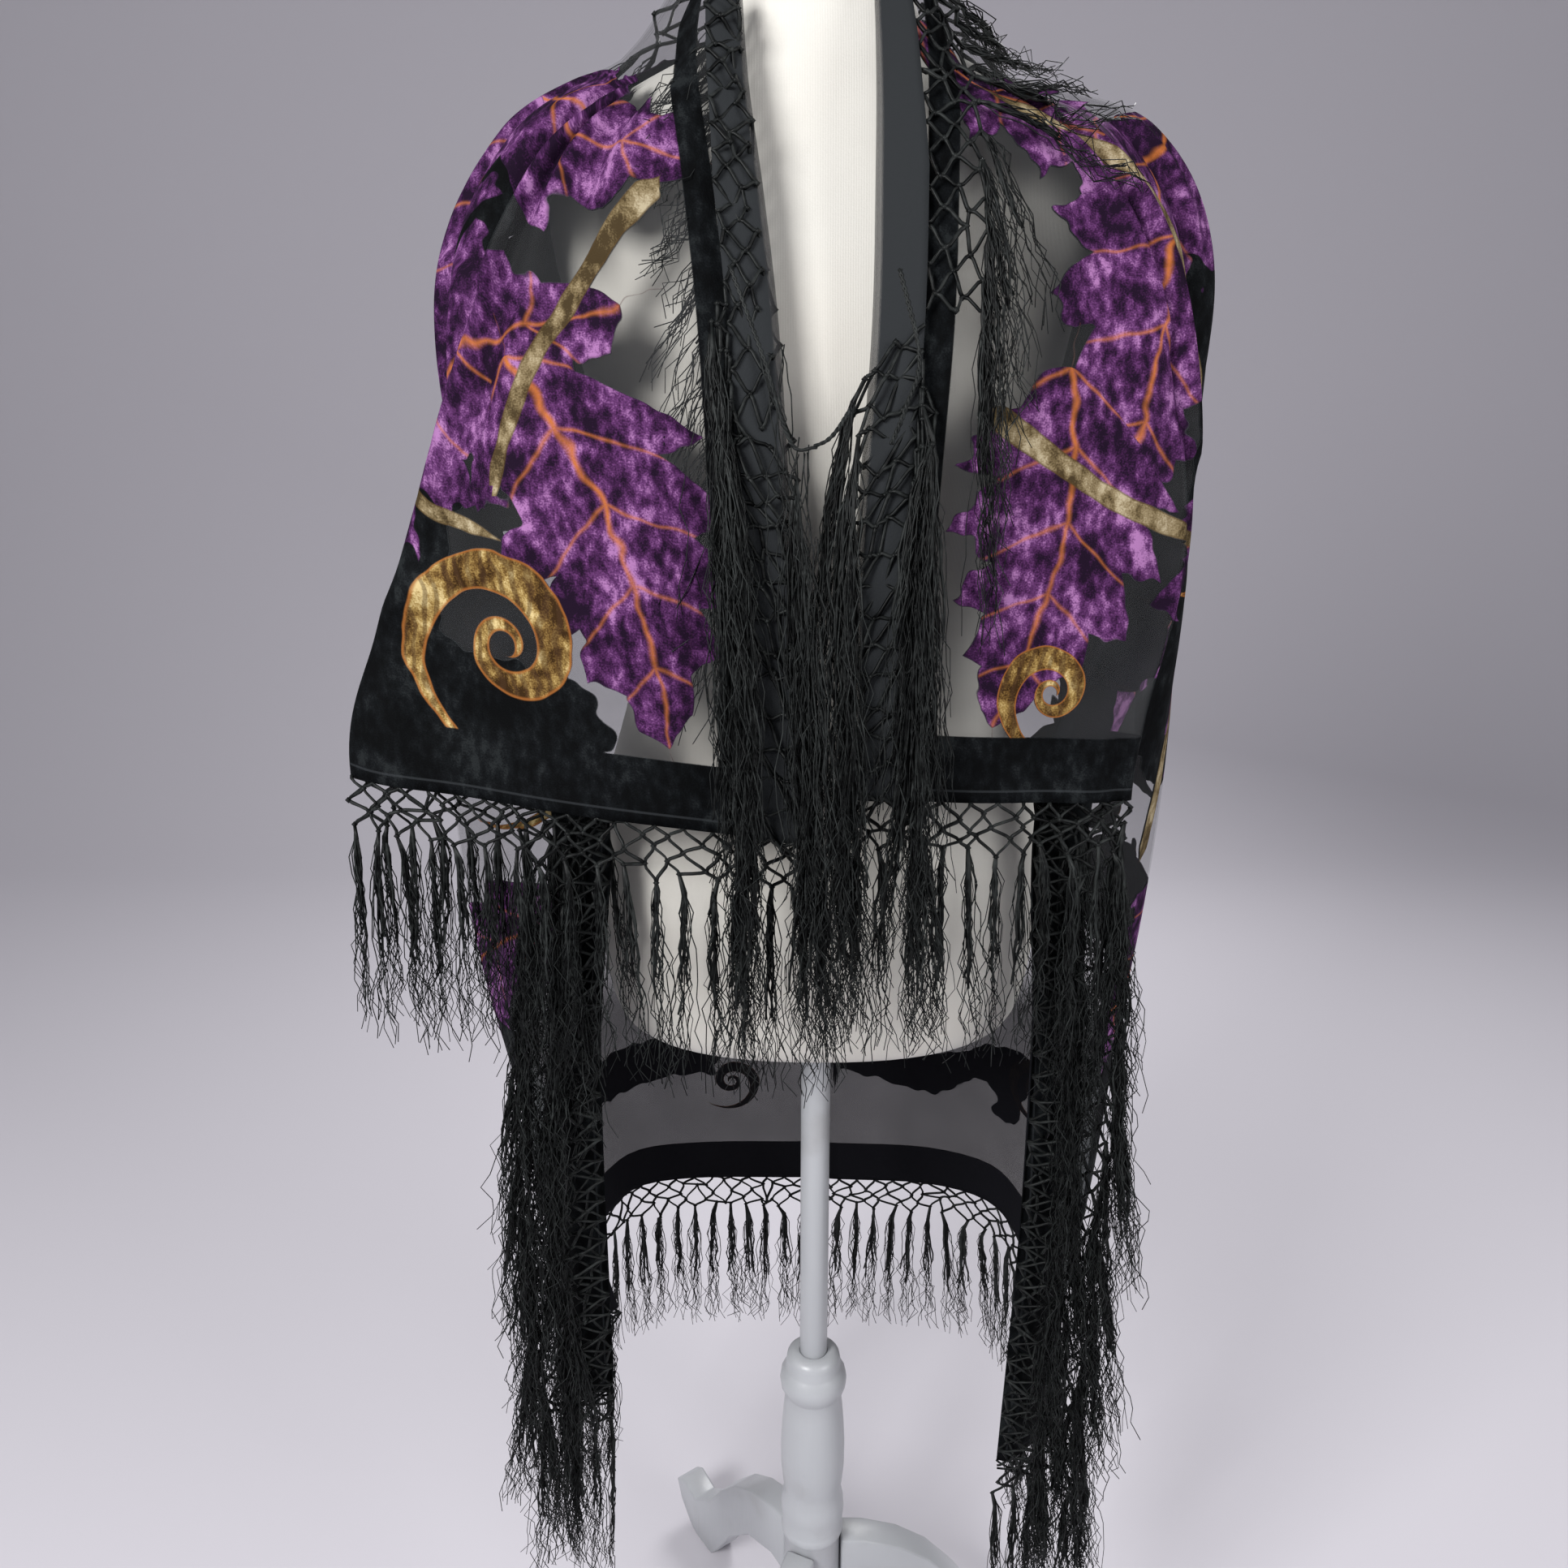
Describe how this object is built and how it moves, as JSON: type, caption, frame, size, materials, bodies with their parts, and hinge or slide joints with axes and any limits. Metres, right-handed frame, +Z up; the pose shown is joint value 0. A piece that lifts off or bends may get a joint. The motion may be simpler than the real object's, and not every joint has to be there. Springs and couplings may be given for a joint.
{
  "type": "burnout velvet shawl on a dress form stand",
  "caption": "Fringed burnout velvet shawl worn open over a limbless dress form on a turned white tripod stand.",
  "frame": {"origin": "on the floor, under the middle of the whole object's box", "axes": "+Z up; the wearer's front faces -Y; +X is the viewer's right"},
  "size_m": [0.5934, 0.4188, 1.525],
  "materials": {
    "velvet": "crushed burnout pile on sheer ground",
    "fringe_yarn": "knotted black yarn",
    "form_jersey": "plain cream jersey",
    "white_paint": "white satin paint"
  },
  "bodies": {
    "root": {"form_torso": "form_jersey", "stand_pole": "white_paint", "stand_column": "white_paint", "leg_back_left": "white_paint", "leg_right": "white_paint", "leg_front": "white_paint", "shawl_front_left": "velvet", "shawl_front_right": "velvet", "shawl_wing_left": "velvet", "shawl_wing_right": "velvet", "shawl_back": "velvet", "fringe_front_left": "fringe_yarn", "fringe_front_right": "fringe_yarn", "fringe_lapel_left": "fringe_yarn", "fringe_lapel_right": "fringe_yarn", "fringe_wing_edge_left": "fringe_yarn", "fringe_wing_edge_right": "fringe_yarn", "fringe_wing_hem_left": "fringe_yarn", "fringe_wing_hem_right": "fringe_yarn", "fringe_back_hem": "fringe_yarn", "fringe_nape": "fringe_yarn"}
  },
  "joints": []
}
